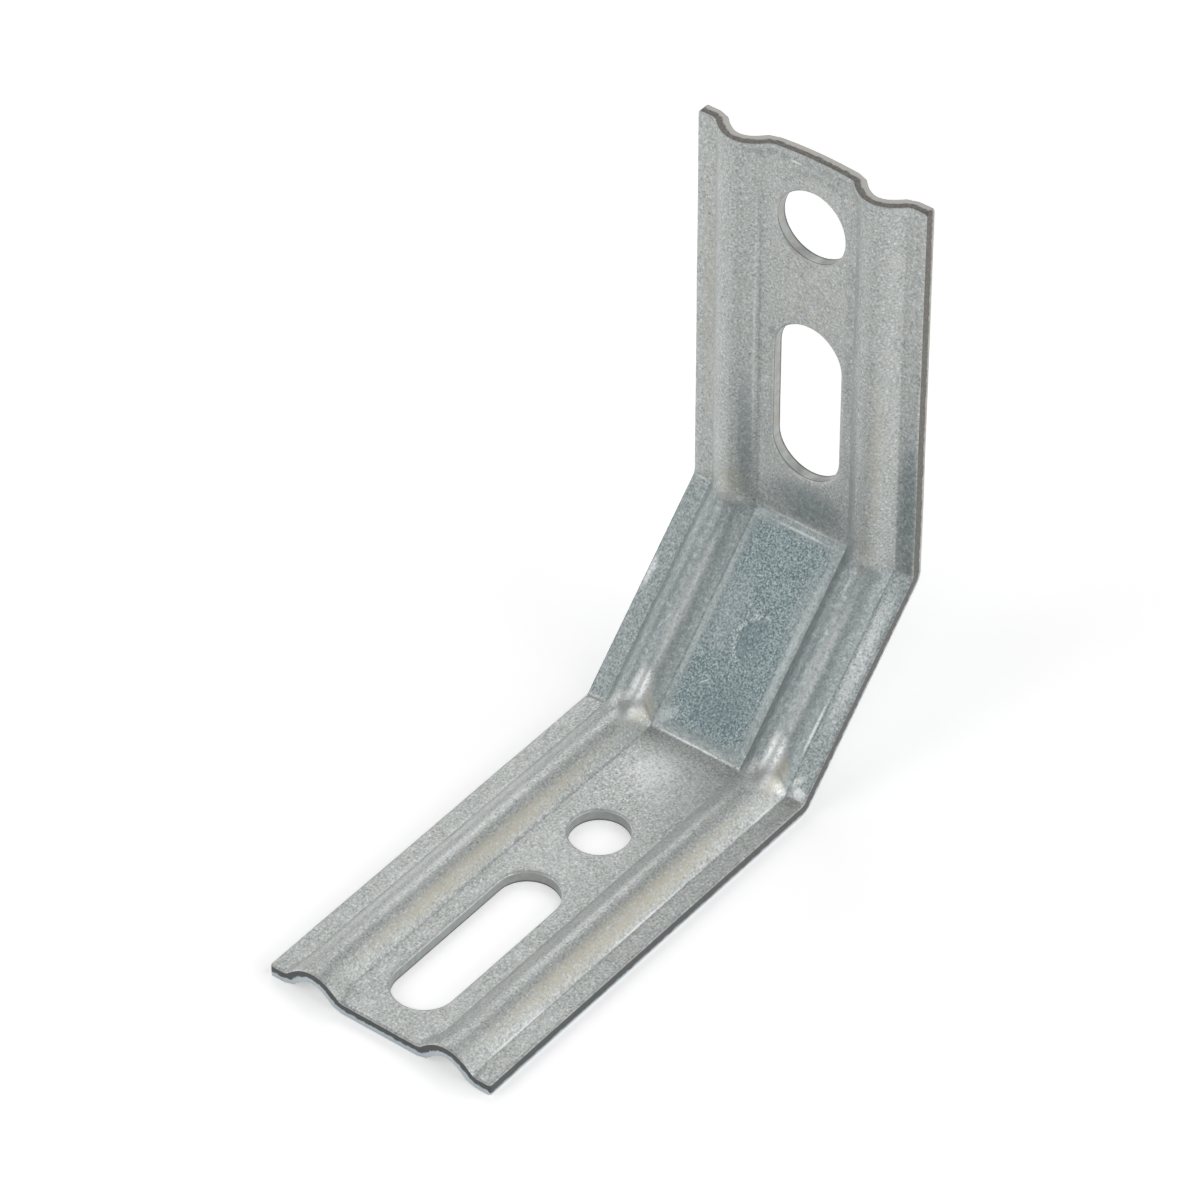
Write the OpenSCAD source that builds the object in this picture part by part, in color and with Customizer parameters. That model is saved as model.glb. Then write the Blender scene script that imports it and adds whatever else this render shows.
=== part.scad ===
// Angle bracket pressed from one strip of zinc-coated sheet steel.
// The strip lies level, rises along a sloping middle and then stands upright.
// Two ribs are pressed into it from end to end, and turn with it at both folds.

/* [Strip] */
// Width of the strip
strip_w = 30; // [28:0.5:40]
// Thickness of the sheet
sheet_t = 1.5; // [1:0.05:2]
// Trim across each corner of the two cut ends
corner_trim = 0.2; // [0.1:0.1:1.5]

/* [Legs and folds] */
// Length of the level leg, from its fold line to its cut end
lower_len = 55; // [53:0.5:90]
// Length of the upright leg, from its fold line to its cut end
upper_len = 50; // [48:0.5:80]
// Length of the sloping middle, from fold line to fold line
middle_len = 27.5; // [18:0.5:50]
// Slope of the middle above the level leg, in degrees
middle_slope = 45; // [35:1:55]
// Inside radius of the folds in the web and the flanges
fold_r = 1; // [0.5:0.1:3]
// Radius to which a fold opens out in the ribs, at their crests
rib_fold_r = 6.5; // [4:0.1:8]

/* [Ribs] */
// Distance between the crests of the two ribs
rib_pitch = 18.5; // [17.5:0.1:20.5]
// Height of a crest above the web
rib_h = 2; // [1:0.1:2.5]
// Slope of the flank that faces the web, in degrees
web_flank = 43; // [32:1:50]
// Slope of the flank that faces the edge of the strip, in degrees
edge_flank = 36; // [32:1:50]
// Radius under the crest, on the hollow side
rib_hollow_r = 0.3; // [0.2:0.1:1.2]
// Radius in the corner at the foot of a flank
rib_foot_r = 0.5; // [0.2:0.1:1]

/* [Holes in the upright leg] */
// Diameter of the round hole
upper_hole_d = 9; // [5:0.1:10]
// Height of the round hole's centre above the fold line
upper_hole_from_fold = 41; // [34:0.5:44]
// Width of the slot
upper_slot_w = 9; // [5:0.1:10]
// Length of the slot, end to end
upper_slot_len = 21; // [12:0.5:26]
// Height of the slot's centre above the fold line
upper_slot_from_fold = 17; // [14:0.5:22]

/* [Holes in the level leg] */
// Diameter of the round hole
lower_hole_d = 7; // [4:0.1:10]
// Distance of the round hole's centre from the fold line
lower_hole_from_fold = 17; // [10:0.5:20]
// Width of the slot
lower_slot_w = 7.5; // [4:0.1:10]
// Length of the slot, end to end
lower_slot_len = 25; // [12:0.5:30]
// Distance of the slot's centre from the fold line
lower_slot_from_fold = 38.5; // [36:0.5:40]

/* [Hidden] */
$fn = 96;
zinc = [0.66, 0.69, 0.7];

// Steps along each curve: one fold, the crest of a rib, and the foot of a flank
fold_steps = 9;
crest_steps = 10;
foot_steps = 4;

// How far a cutter runs past the sheet on each side
cut_past = 2;

// The folds, seen from the side as x and z on the inner face. The strip starts level, and
// its tilt grows to the slope of the middle and then to upright. The origin is below the
// middle of the whole bracket, on the surface that it stands on.
level = 0;
upright = 90;
middle_run = middle_len * cos(middle_slope);
middle_rise = middle_len * sin(middle_slope);
upright_x = sheet_t - (sheet_t + middle_run + lower_len) / 2;
lower_fold = [upright_x + middle_run, sheet_t];
upper_fold = [upright_x, sheet_t + middle_rise];
lower_end = lower_fold + [lower_len, 0];
upper_end = upper_fold + [0, upper_len];

// The section of a rib: foot, flank, round crest, flank and foot
crest_r = rib_hollow_r + sheet_t;
function flank_len(slope) = (rib_h - (crest_r + rib_foot_r) * (1 - cos(slope))) / sin(slope);
function rib_half_w(slope) = (crest_r + rib_foot_r) * sin(slope) + flank_len(slope) * cos(slope);

// Points of the inner face along one curve of the section. Each is [across, height, slope],
// and a negative radius curves the face upwards.
function curve(centre, radius, from, to, steps) = [
    for (i = [0:steps])
        let (slope = from + (to - from) * i / steps)
            [centre[0] - radius * sin(slope), centre[1] + radius * cos(slope), slope]
];

// The inner face of one rib, from foot to foot, with the slopes of its two flanks. The flanks
// are the straight gaps between the curves.
function rib(across, rise, fall) = concat(
    curve([across - rib_half_w(rise), rib_foot_r], -rib_foot_r, 0, rise, foot_steps),
    curve([across, rib_h - crest_r], crest_r, rise, -fall, crest_steps),
    curve([across + rib_half_w(fall), rib_foot_r], -rib_foot_r, -fall, 0, foot_steps)
);

// The inner face from one side of the strip to the other
inner_face = concat(
    [[-strip_w / 2, 0, 0]],
    rib(-rib_pitch / 2, edge_flank, web_flank),
    rib(rib_pitch / 2, web_flank, edge_flank),
    [[strip_w / 2, 0, 0]]
);

// A fold opens out as the face rises from the web to a crest
function fold_radius(height) = fold_r + (rib_fold_r - fold_r) * height / rib_h;

// The whole section as [across, height, fold radius]: along the inner face, and back along
// the outer face, which lies one thickness below it, square to its slope
section = concat(
    [for (p = inner_face) [p[0], p[1], fold_radius(p[1])]],
    [for (i = [len(inner_face) - 1:-1:0])
        let (p = inner_face[i])
            [p[0] + sheet_t * sin(p[2]), p[1] - sheet_t * cos(p[2]), fold_radius(p[1])]]
);

// The direction square to the strip, towards the inside of the angle, at a tilt
function square_to(tilt) = [sin(tilt), cos(tilt)];

// Places along the strip, each [corner, tilt before, tilt after, tilt here]
function bend(corner, before, after) = [
    for (i = [0:fold_steps]) [corner, before, after, before + (after - before) * i / fold_steps]
];
stations = concat(
    [[lower_end, level, level, level]],
    bend(lower_fold, level, middle_slope),
    bend(upper_fold, middle_slope, upright),
    [[upper_end, upright, upright, upright]]
);

// Where a point of the section lies at a station. The point turns about an axis on the
// line that halves the corner, one fold radius from the inner face on both sides of it.
function place(point, station) =
    let (
        turn = station[2] - station[1],
        reach = point[2] / cos(turn / 2),
        axis = station[0] + reach * square_to(station[1] + turn / 2),
        seen = axis - (point[2] - point[1]) * square_to(station[3])
    )
    [seen[0], point[0], seen[1]];

// The strip before its holes are punched: the section carried from station to station,
// and closed at each cut end by faces that join the inner face to the outer
module folded_strip() {
    n = len(section);
    last = len(stations) - 1;
    cut_end = [for (i = [0:len(inner_face) - 2]) [i, i + 1, n - 2 - i, n - 1 - i]];
    polyhedron(
        points = [for (s = stations, p = section) place(p, s)],
        faces = concat(
            cut_end,
            [for (s = [0:last - 1], i = [0:n - 1])
                let (a = s * n + i, b = s * n + (i + 1) % n)
                    each [[b, a, a + n], [b, a + n, b + n]]],
            [for (f = cut_end) [for (k = [3:-1:0]) last * n + f[k]]]
        )
    );
}

// A round-ended slot cutter, long in x, through a sheet that lies from z = 0 to z = -sheet_t
module slot_cutter(width, length) {
    straight = length - width;
    translate([0, 0, -sheet_t - cut_past]) linear_extrude(sheet_t + 2 * cut_past) {
        square([straight, width], center = true);
        for (side = [-1, 1]) translate([side * straight / 2, 0]) circle(d = width);
    }
}

// A round cutter through the same sheet
module hole_cutter(diameter) {
    translate([0, 0, -sheet_t - cut_past]) cylinder(d = diameter, h = sheet_t + 2 * cut_past);
}

// Takes the sharp corner off both sides of a cut end: a square bar set on edge, along z
module corner_cutters() {
    bar = corner_trim * sqrt(2);
    for (side = [-1, 1]) translate([0, side * strip_w / 2, -sheet_t / 2])
        rotate(45) cube([bar, bar, sheet_t + 2 * cut_past], center = true);
}

// Puts a cutter through the upright leg, at a height above its fold line
module through_upright(from_fold) {
    translate([upper_fold[0], 0, upper_fold[1] + from_fold]) rotate([0, upright, 0]) children();
}

// Puts a cutter through the level leg, at a distance from its fold line
module through_level(from_fold) {
    translate([lower_fold[0] + from_fold, 0, lower_fold[1]]) children();
}

module angle_bracket() {
    color(zinc) difference() {
        folded_strip();
        through_upright(upper_hole_from_fold) hole_cutter(upper_hole_d);
        through_upright(upper_slot_from_fold) slot_cutter(upper_slot_w, upper_slot_len);
        through_upright(upper_len) corner_cutters();
        through_level(lower_hole_from_fold) hole_cutter(lower_hole_d);
        through_level(lower_slot_from_fold) slot_cutter(lower_slot_w, lower_slot_len);
        through_level(lower_len) corner_cutters();
    }
}

angle_bracket();
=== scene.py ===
"""An angle bracket pressed from zinc-coated sheet steel, on a plain pale floor in soft light.

The strip is one closed surface. Each of its points has a place in the flat strip (how far along, how far
across, how deep in the sheet), a place in the section of the two ribs, and a place on the folded path.
"""

from types import SimpleNamespace

import bpy
import numpy as np
from bpy.props import FloatProperty, FloatVectorProperty, IntProperty, PointerProperty
from mathutils import Matrix, Vector


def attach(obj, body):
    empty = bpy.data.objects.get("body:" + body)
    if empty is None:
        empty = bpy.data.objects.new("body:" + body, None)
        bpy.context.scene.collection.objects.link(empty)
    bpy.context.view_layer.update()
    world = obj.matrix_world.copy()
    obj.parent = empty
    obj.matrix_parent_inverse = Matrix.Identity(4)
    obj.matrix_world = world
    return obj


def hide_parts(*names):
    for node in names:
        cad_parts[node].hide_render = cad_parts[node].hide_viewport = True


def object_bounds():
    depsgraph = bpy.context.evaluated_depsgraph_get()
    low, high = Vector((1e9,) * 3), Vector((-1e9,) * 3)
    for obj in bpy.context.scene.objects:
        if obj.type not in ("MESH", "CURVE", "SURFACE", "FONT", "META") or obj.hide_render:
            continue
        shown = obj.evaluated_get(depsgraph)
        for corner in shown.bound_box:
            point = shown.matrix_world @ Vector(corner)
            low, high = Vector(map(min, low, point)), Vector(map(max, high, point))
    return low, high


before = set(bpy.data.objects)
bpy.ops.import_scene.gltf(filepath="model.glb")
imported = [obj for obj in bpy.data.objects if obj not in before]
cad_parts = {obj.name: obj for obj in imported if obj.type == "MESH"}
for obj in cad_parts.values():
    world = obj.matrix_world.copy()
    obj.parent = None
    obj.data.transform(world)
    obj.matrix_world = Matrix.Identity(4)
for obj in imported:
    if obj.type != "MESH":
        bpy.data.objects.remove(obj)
CAD_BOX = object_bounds()

bl_info = {
    "name": "Angle Bracket",
    "version": (1, 0, 0),
    "blender": (4, 5, 0),
    "location": "3D View > Sidebar > Bracket",
    "description": "Builds a pressed sheet-steel angle bracket, its zinc finish and a plain studio",
    "category": "Add Mesh",
}

# Millimetres are used in the formulas, and metres in the settings and the finished mesh
MM = 0.001
BOX_SIZE = CAD_BOX[1] - CAD_BOX[0]
SHEET_T = 1.5 * MM
MIDDLE_LEN = 27.5 * MM
# In degrees above the level leg
MIDDLE_SLOPE = 45.0


def length(name, description, default):
    """A setting in metres."""
    return FloatProperty(name=name, description=description, default=default, unit="LENGTH", precision=5)


def angle(name, description, degrees):
    """A setting that is an angle, given in degrees."""
    return FloatProperty(name=name, description=description, default=np.radians(degrees), unit="ROTATION")


def share(name, description, default):
    """A setting without a unit, from 0 upwards."""
    return FloatProperty(name=name, description=description, default=default, min=0.0)


def colour(name, description, default):
    """A setting that is a colour, in linear red, green and blue."""
    return FloatVectorProperty(
        name=name, description=description, default=default, subtype="COLOR", size=3, min=0.0, max=1.0
    )


class BracketSizes(bpy.types.PropertyGroup):
    """Sizes of the strip, its folds, ribs and holes."""

    strip_w: length("Strip width", "Width of the strip", BOX_SIZE.y)
    sheet_t: length("Sheet thickness", "Thickness of the sheet", SHEET_T)
    corner_r: length("Corner radius", "Radius of the corners at the two cut ends", 0.35 * MM)
    lower_len: length(
        "Level leg", "Length of the level leg from its fold line",
        BOX_SIZE.x - SHEET_T - MIDDLE_LEN * np.cos(np.radians(MIDDLE_SLOPE)),
    )
    upper_len: length(
        "Upright leg", "Length of the upright leg from its fold line",
        BOX_SIZE.z - SHEET_T - MIDDLE_LEN * np.sin(np.radians(MIDDLE_SLOPE)),
    )
    middle_len: length("Middle", "Length of the sloping middle between the fold lines", MIDDLE_LEN)
    middle_slope: angle("Middle slope", "Slope of the middle above the level leg", MIDDLE_SLOPE)
    fold_r: length("Fold radius", "Inside radius of the folds in the web and the flanges", 1.0 * MM)
    rib_fold_r: length("Rib fold radius", "Radius of the folds at the crests of the ribs", 6.5 * MM)
    rib_pitch: length("Rib pitch", "Distance between the crests of the ribs", 18.5 * MM)
    rib_h: length("Rib height", "Height of a crest above the web", 2.0 * MM)
    web_flank: angle("Web flank", "Steepest slope of the flank that faces the web", 51.5)
    edge_flank: angle("Edge flank", "Steepest slope of the flank that faces the edge", 50.0)
    rib_foot_r: length("Rib foot radius", "Radius in the corner at the foot of a flank", 0.3 * MM)
    upper_hole_d: length("Upper hole", "Diameter of the round hole in the upright leg", 9.0 * MM)
    upper_hole_at: length("Upper hole place", "Distance of its centre from the fold line", 41.0 * MM)
    upper_slot_w: length("Upper slot width", "Width of the slot in the upright leg", 9.0 * MM)
    upper_slot_len: length("Upper slot length", "Length of that slot, end to end", 21.0 * MM)
    upper_slot_at: length("Upper slot place", "Distance of its centre from the fold line", 17.0 * MM)
    lower_hole_d: length("Lower hole", "Diameter of the round hole in the level leg", 7.0 * MM)
    lower_hole_at: length("Lower hole place", "Distance of its centre from the fold line", 17.0 * MM)
    lower_slot_w: length("Lower slot width", "Width of the slot in the level leg", 7.5 * MM)
    lower_slot_len: length("Lower slot length", "Length of that slot, end to end", 25.0 * MM)
    lower_slot_at: length("Lower slot place", "Distance of its centre from the fold line", 38.5 * MM)


class BracketWear(bpy.types.PropertyGroup):
    """What pressing, punching and handling did to the sheet."""

    roll_depth: length("Rolled edge depth", "How far the inner face rolls over at a cut edge", 0.1 * MM)
    roll_w: length("Rolled edge width", "How wide that rolled band is", 0.3 * MM)
    punch_depth: length("Punched rim depth", "How far the inner face dips round a hole", 0.05 * MM)
    punch_w: length("Punched rim width", "How wide that dip is", 0.7 * MM)
    burr_depth: length("Outer edge rounding", "How far the outer face is rounded at a cut edge", 0.04 * MM)
    burr_w: length("Outer edge band", "How wide that rounded band is", 0.12 * MM)
    web_bow: length("Web bow", "How far the upright leg's web bows back at its cut end", 0.4 * MM)
    panel_dip: length("Panel dip", "How far the middle's web is pressed below its border", 0.08 * MM)
    waviness: length("Waviness", "Height of the slow waves in the flat faces", 0.02 * MM)
    end_rib_w: length("Rib half width at the ends", "Half the width of a rib at a cut end", 3.65 * MM)
    end_rib_shift: length("Rib shift at the ends", "How far its crest leans to the web there", 0.15 * MM)
    end_reach: length("Reach of the ends", "How far from a cut end the ribs change their form", 4.0 * MM)
    wrinkles: length("Wrinkles", "Depth of the fine wrinkles where the ribs fold", 0.012 * MM)


class BracketFinish(bpy.types.PropertyGroup):
    """Colours of the zinc coating and the cut edges. Some of them also paint highlights and shade."""

    zinc: colour("Zinc", "The coating on the flat faces", (0.495, 0.522, 0.518))
    # Also the painted shade of the dark marks
    zinc_dark: colour("Dark zinc", "Darker grains and smudges in the coating", (0.215, 0.248, 0.255))
    # Also the painted highlights of the pale marks and of the hole rims
    zinc_light: colour("Light zinc", "Lighter grains and scuffs in the coating", (0.740, 0.765, 0.755))
    # Also paints shade on the level leg's flanks that face +Y, and warm highlights at the folds
    beige: colour("Beige tint", "The warm tint on the ribs", (0.505, 0.484, 0.405))
    # A darker blue painted reflection, over the middle and just above the upper fold
    blue: colour("Blue tint", "The cooler tint of the middle", (0.275, 0.325, 0.332))
    # The panel's darker tone is partly its own speckled coating and partly painted shade
    panel: colour("Panel", "The pressed panel in the middle's web", (0.330, 0.402, 0.412))
    panel_dark: colour("Dark panel grains", "The dark grains of that panel", (0.138, 0.194, 0.208))
    cut_dark: colour("Cut edge", "The dark band of bare steel on a cut edge", (0.193, 0.186, 0.170))
    cut_cold: colour("Cold cut edge", "The same band towards the level leg's end", (0.088, 0.095, 0.097))
    cut_light: colour("Cut edge zinc", "The band of a cut edge with zinc on it", (0.540, 0.600, 0.630))
    hole_wall: colour("Hole wall", "The burnished wall of a punched hole", (0.450, 0.440, 0.410))


class BracketStage(bpy.types.PropertyGroup):
    """The floor, the lamps and the camera."""

    floor: colour("Floor", "Colour of the floor", (0.95, 0.95, 0.95))
    floor_lift: share("Floor lift", "Light that the floor itself gives the camera", 0.33)
    world: share("World", "Strength of the light from all round", 0.11)
    back_left: share("Back left lamp", "Brightness of the lamp behind, on the left", 2.1)
    back_right: share("Back right lamp", "Brightness of the lamp behind, on the right", 1.05)
    front_left: share("Front left lamp", "Brightness of the lamp in front, on the left", 1.8)
    front: share("Front lamp", "Brightness of the lamp beside the camera", 3.6)
    low_left: share("Low left lamp", "Brightness of the low lamp on the left", 1.7)
    low_right: share("Low right lamp", "Brightness of the low lamp on the right", 3.3)
    high_right: share("High right lamp", "Brightness of the small lamp high on the right", 2.2)
    azimuth: angle("Azimuth", "The camera's angle round the bracket, from looking along +Y", 127.8629)
    elevation: angle("Elevation", "The camera's angle above the floor", 40.746)
    roll: angle("Roll", "The camera's turn about its own line of sight", -0.0327)
    distance: length("Distance", "From the camera to the point that it looks at", 739.8014 * MM)
    lens: FloatProperty(name="Lens", description="Focal length on a 36 mm sensor", default=210.0, min=1.0)
    seed: IntProperty(name="Seed", description="Seed of the slow waves", default=7)


# The point that the camera looks at, and the width of its sensor, in millimetres
CAMERA_TARGET = (0.1284, 0.1916, 35.0375)
SENSOR_W = 36.0
# The nearest and the farthest that the camera sees, in metres
CLIP_START = 0.01
CLIP_END = 20.0
# Each lamp's direction from the bracket, and the side of its square in metres
LAMPS = {
    "back_left": ((-0.60, -0.47, 0.65), 0.6),
    "back_right": ((-0.60, 0.55, 0.58), 0.9),
    "front_left": ((0.65, -0.47, 0.60), 0.8),
    "front": ((0.68, 0.38, 0.63), 0.3),
    "low_left": ((-0.10, -1.00, 0.30), 0.7),
    "low_right": ((-0.10, 1.00, 0.30), 0.7),
    "high_right": ((-0.03, 0.57, 0.82), 0.4),
}
# How far off the lamps stand, and the point that they face, in metres
LAMP_DISTANCE = 1.1
LAMP_AIM = (0.0, 0.0, 0.03)
# Half the side of the square floor in millimetres, and the points along one side
FLOOR_HALF = 900.0
FLOOR_POINTS = 9

# All lengths from here on are in millimetres.
# Distances from a cut edge at which the mesh has rows, so that the rolled edge is round
EDGE_ROWS = np.array([0.0, 0.03, 0.08, 0.15, 0.24, 0.35, 0.5])
# Shares of the thickness at which a cut edge has rows
WALL_ROWS = np.array([0.04, 0.2, 0.4, 0.6, 0.8, 0.96])
# Gaps between rows and columns, on the flat and close to a fold
FLAT_STEP = 0.5
FOLD_STEP = 0.12
# How far the close rows reach on each side of a fold
FOLD_REACH = 2.4
# Steps along each curve: one fold, one side of a rib's arch, and the foot of a flank
FOLD_STEPS, ARCH_STEPS, FOOT_STEPS = 8, 10, 5
# Width of the ring-shaped stretch of mesh past the ends of a hole, and its steps outwards
RING_MARGIN = 2.0
RING_STEPS = 4
# How far past a rib's foot a column of points still counts as on the web
ROUNDING = 1e-6
# Width of the painted highlight round a hole
RIM_HIGHLIGHT = 0.45
# Softness of the corners at the feet of a rib at a cut end
END_SOFTNESS = 0.2
# How many slow waves there are, and the shortest and longest of them
WAVE_COUNT = 12
WAVE_SIZES = (6, 20)
# The share of the upright leg over which its bow begins
BOW_RISE = 0.15
# How far the bow runs past the feet of the ribs, and the panel's dip stops short of them
WEB_MARGIN = 0.2
# How far the panel's dip stops short of the folds
PANEL_MARGIN = 0.5
# The wrinkles at a fold: their reach, the height on a rib at which they are full, the gap from one to the
# next, and their slant in radians a millimetre
WRINKLE_REACH, WRINKLE_FULL, WRINKLE_GAP, WRINKLE_SLANT = 1.6, 1.2, 0.95, 1.4

# Stretches of the strip, from the lower end to the upper end
LEVEL, LOWER_FOLD, MIDDLE, UPPER_FOLD, UPRIGHT = range(5)
# Finishes of the mesh's faces, in the order of its materials
ZINC, CUT_EDGE, HOLE_WALL = range(3)


def in_mm(settings):
    """The sizes of a property group as a plain namespace, with lengths in millimetres."""
    sizes = SimpleNamespace()
    for name in settings.__annotations__:
        value = getattr(settings, name)
        unit = settings.bl_rna.properties[name].unit
        setattr(sizes, name, value / MM if unit == "LENGTH" else value)
    return sizes


def ease(x):
    """A smooth step from 0 to 1 as x goes from 0 to 1: 3 times x squared less 2 times x cubed."""
    x = np.clip(x, 0, 1)
    return x * x * (3 - 2 * x)


def evenly(start, end, step):
    """Points from start to end, at even gaps of about one step."""
    return np.linspace(start, end, max(1, int(round(abs(end - start) / step))) + 1)


def to_edge(start, edge):
    """Points from start to a cut edge, at even gaps and then close together."""
    return np.concatenate([evenly(start, edge - EDGE_ROWS[-1], FLAT_STEP), edge - EDGE_ROWS[-2::-1]])


def band(gap, width):
    """Falls from 1 at an edge to 0 across a band: the square of the share of its width that is left."""
    return np.clip(1 - gap / width, 0, 1) ** 2


def curve(centre, radius, start, end, steps):
    """A round stretch of the section, as across, height and slope: the centre less the radius times the
    slope's sine, and the centre plus the radius times its cosine. A negative radius curves upwards."""
    slope = np.linspace(start, end, steps + 1)
    return np.stack([centre[0] - radius * np.sin(slope), centre[1] + radius * np.cos(slope), slope], 1)


def flat_points(places):
    """A flat stretch of the section: places across, with no height and no slope."""
    return np.stack([places, 0 * places, 0 * places], 1)


def arch_size(s, steepest):
    """The size of one side of a rib's arch, which falls from the crest by its size times the square of the
    slope's tangent, and runs out by twice its size times the tangent. It meets the foot's curve where the
    slope is steepest."""
    return (s.rib_h - s.rib_foot_r * (1 - np.cos(steepest))) / np.tan(steepest) ** 2


def rib_half(s, steepest):
    """How far a foot lies from its crest: the run of the arch plus the run of the foot's curve."""
    return 2 * arch_size(s, steepest) * np.tan(steepest) + s.rib_foot_r * np.sin(steepest)


def arch(s, crest, start, end):
    """One side of a rib's arch, as across, height and slope, at even steps of the slope's tangent."""
    size = arch_size(s, max(abs(start), abs(end)))
    tangent = np.linspace(np.tan(start), np.tan(end), ARCH_STEPS + 1)
    return np.stack([crest - 2 * size * tangent, s.rib_h - size * tangent ** 2, np.arctan(tangent)], 1)


def section(s):
    """The inner face across the strip, as rows of across, height and slope, and how far across the web ends.
    The right half runs over web, foot, arch, foot and flange, and the left half is its mirror image."""
    crest = s.rib_pitch / 2
    web_foot = crest - rib_half(s, s.web_flank)
    edge_foot = crest + rib_half(s, s.edge_flank)
    right = np.concatenate([
        flat_points(evenly(0.0, web_foot, FLAT_STEP)),
        curve((web_foot, s.rib_foot_r), -s.rib_foot_r, 0.0, s.web_flank, FOOT_STEPS)[1:],
        arch(s, crest, s.web_flank, 0.0)[1:],
        arch(s, crest, 0.0, -s.edge_flank)[1:],
        curve((edge_foot, s.rib_foot_r), -s.rib_foot_r, -s.edge_flank, 0.0, FOOT_STEPS)[1:],
        flat_points(to_edge(edge_foot, s.strip_w / 2))[1:],
    ])
    left = right[:0:-1] * [-1, 1, -1]
    return np.concatenate([left, right]), web_foot


def end_section(s, wear, across):
    """The heights and slopes of the section at a cut end, where each rib springs open into a wide dome: the
    rib's height less a square of the distance from its crest. A soft corner at each foot is the mean of the
    dome and the root of its square plus the softness squared, less a part that fades away from the foot."""
    crest = s.rib_pitch / 2 - wear.end_rib_shift
    beside = (np.abs(across) - crest) / wear.end_rib_w
    dome = s.rib_h * (1 - beside ** 2)
    root = np.sqrt(dome ** 2 + END_SOFTNESS ** 2)
    height = (dome + root) / 2 - END_SOFTNESS ** 2 / 4 / (END_SOFTNESS + np.abs(dome))
    rise = -2 * s.rib_h * beside / wear.end_rib_w * (1 + dome / root) / 2
    return np.maximum(height, 0.0), np.arctan(rise * np.sign(across))


def fold_start(s, radius):
    """How far from the corner a fold begins: its radius times the tangent of half its turn. The two folds
    turn by the middle's slope and by what is left to upright."""
    return radius * np.tan(s.middle_slope / 2), radius * np.tan((np.pi / 2 - s.middle_slope) / 2)


def leg_rows(run):
    """Places along a leg, from its fold to its cut end."""
    return np.concatenate([evenly(0.0, FOLD_REACH, FOLD_STEP), to_edge(FOLD_REACH, run)[1:]])


def rows_along(s):
    """The rows of the grid, as stretch number, share of the stretch, and distance along the web from the
    lower end, and the distances at which the stretches start. Rows stand close at the cut ends and at the
    folds. The level leg's shares are counted from its fold."""
    low, high = fold_start(s, s.fold_r)
    level_run, upright_run = s.lower_len - low, s.upper_len - high
    middle_run = s.middle_len - low - high
    middle = np.concatenate([
        evenly(0.0, FOLD_REACH, FOLD_STEP),
        evenly(FOLD_REACH, middle_run - FOLD_REACH, FLAT_STEP)[1:-1],
        evenly(middle_run - FOLD_REACH, middle_run, FOLD_STEP),
    ])
    bend = np.linspace(0, 1, FOLD_STEPS + 1)
    shares = [
        leg_rows(level_run)[:0:-1] / level_run,
        bend,
        middle[1:-1] / middle_run,
        bend,
        leg_rows(upright_run)[1:] / upright_run,
    ]
    upper_turn = np.pi / 2 - s.middle_slope
    runs = [level_run, s.fold_r * s.middle_slope, middle_run, s.fold_r * upper_turn, upright_run]
    starts = np.concatenate([[0.0], np.cumsum(runs)])
    stretch = np.concatenate([np.full(len(part), number) for number, part in enumerate(shares)])
    upwards = [1 - shares[LEVEL], *shares[LOWER_FOLD:]]
    at = np.concatenate([start + run * part for start, run, part in zip(starts, runs, upwards)])
    return stretch, np.concatenate(shares), at, starts


def hole_places(s, starts):
    """Each hole's stretch, its centre along the strip, its length and its width."""
    low, high = fold_start(s, s.fold_r)
    lower_line, upper_line = starts[LOWER_FOLD] + low, starts[UPRIGHT] - high
    return [
        (LEVEL, lower_line - s.lower_slot_at, s.lower_slot_len, s.lower_slot_w),
        (LEVEL, lower_line - s.lower_hole_at, s.lower_hole_d, s.lower_hole_d),
        (UPRIGHT, upper_line + s.upper_slot_at, s.upper_slot_len, s.upper_slot_w),
        (UPRIGHT, upper_line + s.upper_hole_at, s.upper_hole_d, s.upper_hole_d),
    ]


def hole_rings(at, across, rectangle, centre, straight, radius):
    """Rings of points from a hole's outline to the rectangle of grid points round it, their distances from
    the outline, and the rectangle's rows and columns. The rings lie on lines from the rectangle's points to
    the nearest points of the hole's middle line: close together at first, then at even shares."""
    low, high, left, right = rectangle
    wide, long = right - left, high - low
    rows = np.concatenate([
        np.full(wide, low), np.arange(low, high), np.full(wide, high), np.arange(high, low, -1),
    ])
    cols = np.concatenate([
        np.arange(left, right), np.full(long, right), np.arange(right, left, -1), np.full(long, left),
    ])
    outer = np.stack([at[rows], across[cols]], 1)
    nearest = np.clip(outer[:, 0], centre - straight / 2, centre + straight / 2)
    middle = np.stack([nearest, 0 * nearest], 1)
    out = outer - middle
    reach = np.hypot(out[:, 0], out[:, 1])
    out /= reach[:, None]
    close = radius + EDGE_ROWS[:, None] + 0 * reach
    share_out = np.arange(1, RING_STEPS)[:, None] / RING_STEPS
    far = close[-1] + (reach - close[-1]) * share_out
    distance = np.concatenate([close, far])
    return middle[None] + out[None] * distance[..., None], distance - radius, rows, cols


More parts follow.
